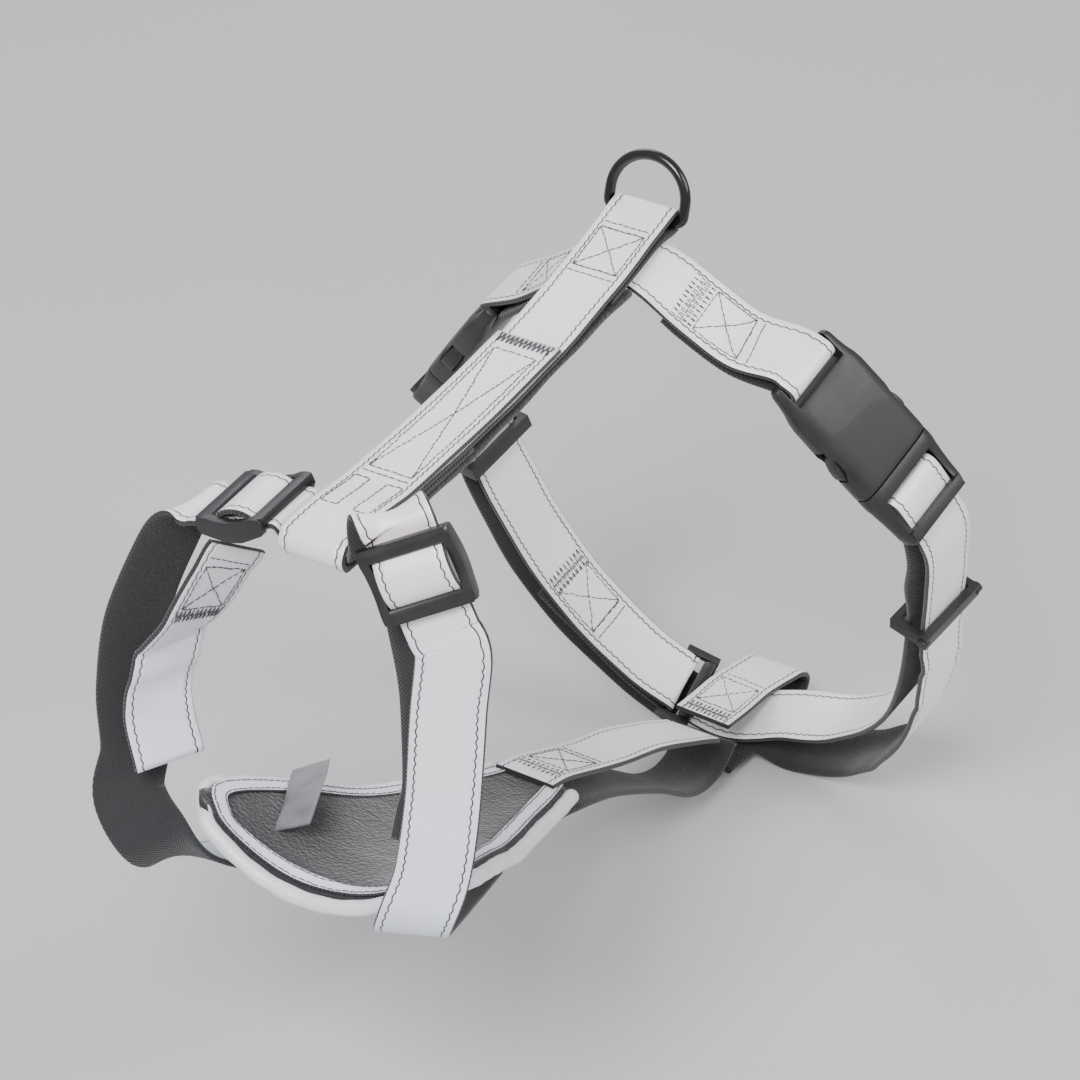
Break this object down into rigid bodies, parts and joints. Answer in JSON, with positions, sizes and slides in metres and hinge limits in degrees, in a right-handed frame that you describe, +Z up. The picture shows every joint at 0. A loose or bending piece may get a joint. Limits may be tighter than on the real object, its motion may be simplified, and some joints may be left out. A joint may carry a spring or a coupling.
{
  "type": "dog harness",
  "caption": "Reflective webbing dog harness with a Y front, padded chest piece, back lead ring, side-release flank buckles and strap sliders.",
  "frame": {"origin": "axis of the lead ring's bar, in the middle of the back strap's rear fold", "axes": "+X towards the dog's left, +Y from chest to tail along the back strap, +Z up"},
  "size_m": [0.2213, 0.351, 0.3017],
  "materials": {
    "reflective_webbing": "retroreflective face, black back",
    "black_lining": "soft knit",
    "pad_foam": "closed-cell foam",
    "reflective_piping": "retroreflective",
    "label_tape": "satin tape, blank",
    "hardware_plastic": "fine texture",
    "ring_metal": "gloss black"
  },
  "bodies": {
    "harness": {"back_strap": "reflective_webbing", "front_loop": "reflective_webbing", "back_lining": "black_lining", "neck_strap": "reflective_webbing", "shoulder_inner_left": "reflective_webbing", "shoulder_inner_right": "reflective_webbing", "chest_pad_lining": "black_lining", "chest_pad_foam": "pad_foam", "chest_pad_shell": "black_lining", "chest_pad_piping": "reflective_piping", "care_label": "label_tape", "sternum_strap": "reflective_webbing", "sternum_strap_lower": "reflective_webbing", "belly_flap": "reflective_webbing", "belly_ring": "hardware_plastic", "girth_top_strap": "reflective_webbing", "buckle_socket_left": "hardware_plastic", "buckle_socket_right": "hardware_plastic", "girth_inner_left": "reflective_webbing", "girth_inner_right": "reflective_webbing", "girth_outer_left": "reflective_webbing", "girth_outer_right": "reflective_webbing"},
    "lead_ring": {"d_ring": "ring_metal"},
    "slider_left": {"shoulder_slider_left": "hardware_plastic"},
    "slider_right": {"shoulder_slider_right": "hardware_plastic"},
    "keeper_left": {"girth_keeper_left": "hardware_plastic"},
    "keeper_right": {"girth_keeper_right": "hardware_plastic"},
    "plug_left": {"buckle_plug_left": "hardware_plastic", "girth_turn_left": "reflective_webbing"},
    "plug_right": {"buckle_plug_right": "hardware_plastic", "girth_turn_right": "reflective_webbing"},
    "arm_left_front": {"latch_arm_left_front": "hardware_plastic"},
    "arm_left_rear": {"latch_arm_left_rear": "hardware_plastic"},
    "arm_right_front": {"latch_arm_right_front": "hardware_plastic"},
    "arm_right_rear": {"latch_arm_right_rear": "hardware_plastic"}
  },
  "joints": [
    {"name": "lead_ring_swing", "type": "hinge", "parent": "harness", "child": "lead_ring", "pos_m": [0, 0, 0], "axis": [1, 0, 0], "range_deg": [-90, 88]},
    {"name": "left_plug_draw", "type": "slide", "parent": "harness", "child": "plug_left", "axis": [0.6, 0.25, -0.76], "range_m": [0, 0.022], "deforming": ["girth_turn_left", "latch_arm_left_front", "latch_arm_left_rear"]},
    {"name": "left_latch_front", "type": "hinge", "parent": "plug_left", "child": "arm_left_front", "pos_m": [0.09656, -0.00402, -0.08275], "axis": [-0.7805, 0.3912, -0.4875], "range_deg": [0, 9], "stiffness_Nm_per_rad": 0.08},
    {"name": "left_latch_rear", "type": "hinge", "parent": "plug_left", "child": "arm_left_rear", "pos_m": [0.10064, 0.01652, -0.07277], "axis": [0.7805, -0.3912, 0.4875], "range_deg": [0, 9], "stiffness_Nm_per_rad": 0.08},
    {"name": "right_plug_draw", "type": "slide", "parent": "harness", "child": "plug_right", "axis": [-0.5486, 0.2494, -0.798], "range_m": [0, 0.022], "deforming": ["girth_turn_right", "latch_arm_right_front", "latch_arm_right_rear"]},
    {"name": "right_latch_front", "type": "hinge", "parent": "plug_right", "child": "arm_right_front", "pos_m": [-0.08191, -0.00298, -0.08937], "axis": [-0.8278, -0.028, 0.5604], "range_deg": [0, 9], "stiffness_Nm_per_rad": 0.08},
    {"name": "right_latch_rear", "type": "hinge", "parent": "plug_right", "child": "arm_right_rear", "pos_m": [-0.07919, 0.01948, -0.08423], "axis": [0.8278, 0.028, -0.5604], "range_deg": [0, 9], "stiffness_Nm_per_rad": 0.08},
    {"name": "left_shoulder_adjust", "type": "slide", "parent": "harness", "child": "slider_left", "axis": [0.4469, -0.0372, -0.8938], "range_m": [0, 0.005]},
    {"name": "right_shoulder_adjust", "type": "slide", "parent": "harness", "child": "slider_right", "axis": [-0.9573, 0, -0.2892], "range_m": [0, 0.004]},
    {"name": "left_keeper_slide", "type": "slide", "parent": "harness", "child": "keeper_left", "axis": [-0.1283, 0.3136, -0.9408], "range_m": [-0.006, 0.006]},
    {"name": "right_keeper_slide", "type": "slide", "parent": "harness", "child": "keeper_right", "axis": [0.1562, 0.3124, -0.937], "range_m": [-0.003, 0.006]}
  ],
  "couplings": [
    {"joint": "left_latch_rear", "follows": "left_latch_front", "ratio": 1},
    {"joint": "right_latch_rear", "follows": "right_latch_front", "ratio": 1}
  ]
}
